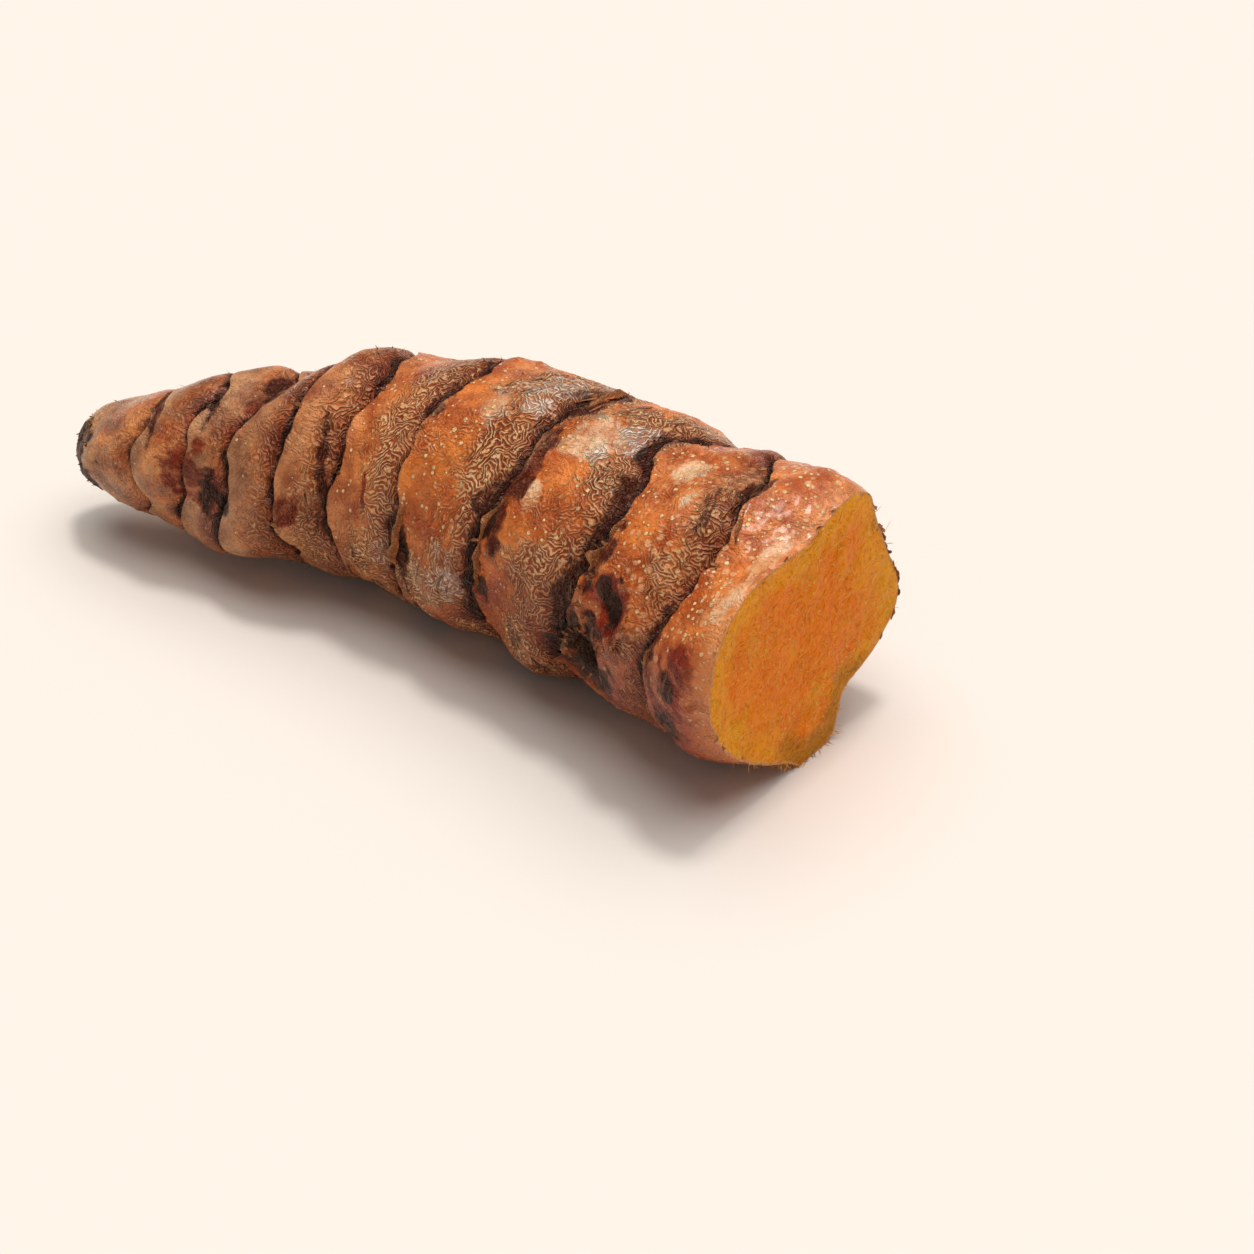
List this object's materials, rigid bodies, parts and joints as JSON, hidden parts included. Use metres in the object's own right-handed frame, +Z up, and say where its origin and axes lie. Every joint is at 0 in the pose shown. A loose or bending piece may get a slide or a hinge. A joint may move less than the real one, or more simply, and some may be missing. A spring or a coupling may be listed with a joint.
{
  "type": "turmeric root",
  "caption": "Fresh turmeric root, half of one ringed tapering rhizome with a flat cut end, lying on its side.",
  "frame": {"origin": "on the surface the root lies on, below the middle of its box", "axes": "+X along the root from the growing end to the cut end, +Z up, -Y the side with the bud scar"},
  "size_m": [0.0722, 0.0316, 0.0234],
  "materials": {
    "turmeric_skin": "thin brown skin, papery and wrinkled in bands, smooth and orange between"
  },
  "bodies": {
    "root": {"rhizome": "turmeric_skin"}
  },
  "joints": []
}
